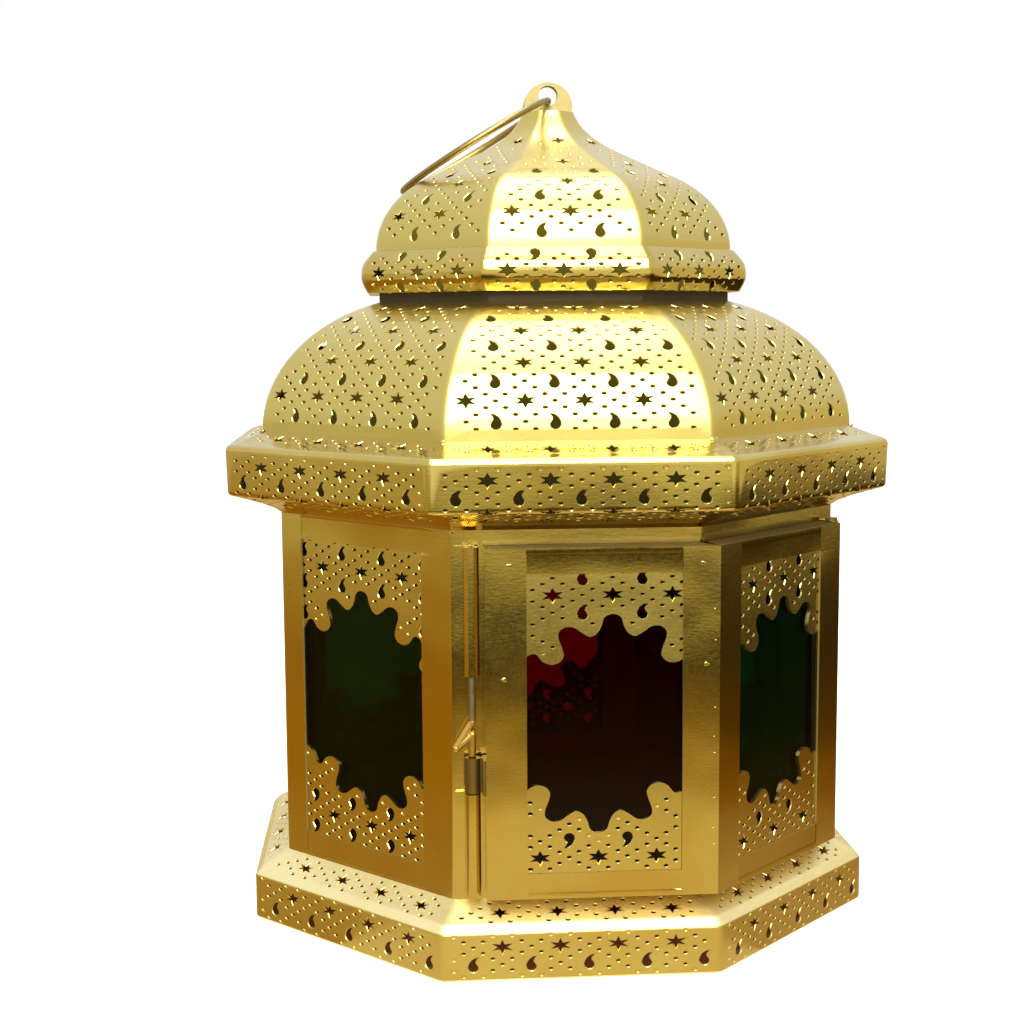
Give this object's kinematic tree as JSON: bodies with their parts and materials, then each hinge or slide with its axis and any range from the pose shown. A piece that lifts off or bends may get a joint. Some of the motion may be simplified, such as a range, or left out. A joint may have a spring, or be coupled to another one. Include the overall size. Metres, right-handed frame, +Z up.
{
  "type": "candle lantern",
  "caption": "Octagonal sheet-metal candle lantern with a two-sided hinged door, slide bolt, scalloped coloured windows, two-tier domed roof and a wire hanging ring.",
  "frame": {"origin": "middle of the lantern's foot, on the surface that it stands on", "axes": "+Z up through the finial; -Y is the outward direction of the face that holds the latch half of the door; the ring lies towards -X"},
  "size_m": [0.1958, 0.1958, 0.251],
  "materials": {
    "brass_sheet": "satin gold lacquer, rubbed at the folds",
    "screen_sheet": "satin gold lacquer, punched",
    "green_glass": "gloss, dark bottle green",
    "red_glass": "gloss, deep ruby",
    "bright_wire": "bright drawn wire",
    "tin_plate": "dull tin plate"
  },
  "bodies": {
    "case": {"plinth_wall": "brass_sheet", "plinth_deck": "brass_sheet", "floor_plate": "brass_sheet", "candle_cup": "tin_plate", "body_shell": "brass_sheet", "screen_left_front": "screen_sheet", "screen_left": "screen_sheet", "screen_left_back": "screen_sheet", "screen_back": "screen_sheet", "screen_right_back": "screen_sheet", "screen_right": "screen_sheet", "pane_left_front": "green_glass", "pane_left": "red_glass", "pane_left_back": "green_glass", "pane_back": "red_glass", "pane_right_back": "green_glass", "pane_right": "red_glass", "pane_clips": "tin_plate", "hinge_upper": "brass_sheet", "hinge_lower": "brass_sheet", "hinge_pin": "bright_wire", "latch_upper": "brass_sheet", "latch_lower": "brass_sheet", "cornice": "brass_sheet", "large_dome": "brass_sheet", "gallery_neck": "brass_sheet", "gallery": "brass_sheet", "upper_dome": "brass_sheet", "finial": "brass_sheet"},
    "door": {"door_frame": "brass_sheet", "door_screen_front": "screen_sheet", "door_screen_side": "screen_sheet", "door_pane_front": "red_glass", "door_pane_side": "green_glass", "door_clips": "tin_plate", "hinge_door_leaf": "brass_sheet", "latch_keeper": "brass_sheet"},
    "bolt": {"latch_bolt": "bright_wire"},
    "ring": {"hanging_ring": "bright_wire"}
  },
  "joints": [
    {"name": "door_swing", "type": "hinge", "parent": "case", "child": "door", "pos_m": [0.08104, -0.04001, 0.07], "axis": [0, 0, 1], "range_deg": [0, 110]},
    {"name": "bolt_slide", "type": "slide", "parent": "case", "child": "bolt", "axis": [0, 0, 1], "range_m": [-0.003, 0.011]},
    {"name": "ring_swing", "type": "hinge", "parent": "case", "child": "ring", "pos_m": [0, 0, 0.24524], "axis": [0, 1, 0], "range_deg": [0, 241]}
  ]
}
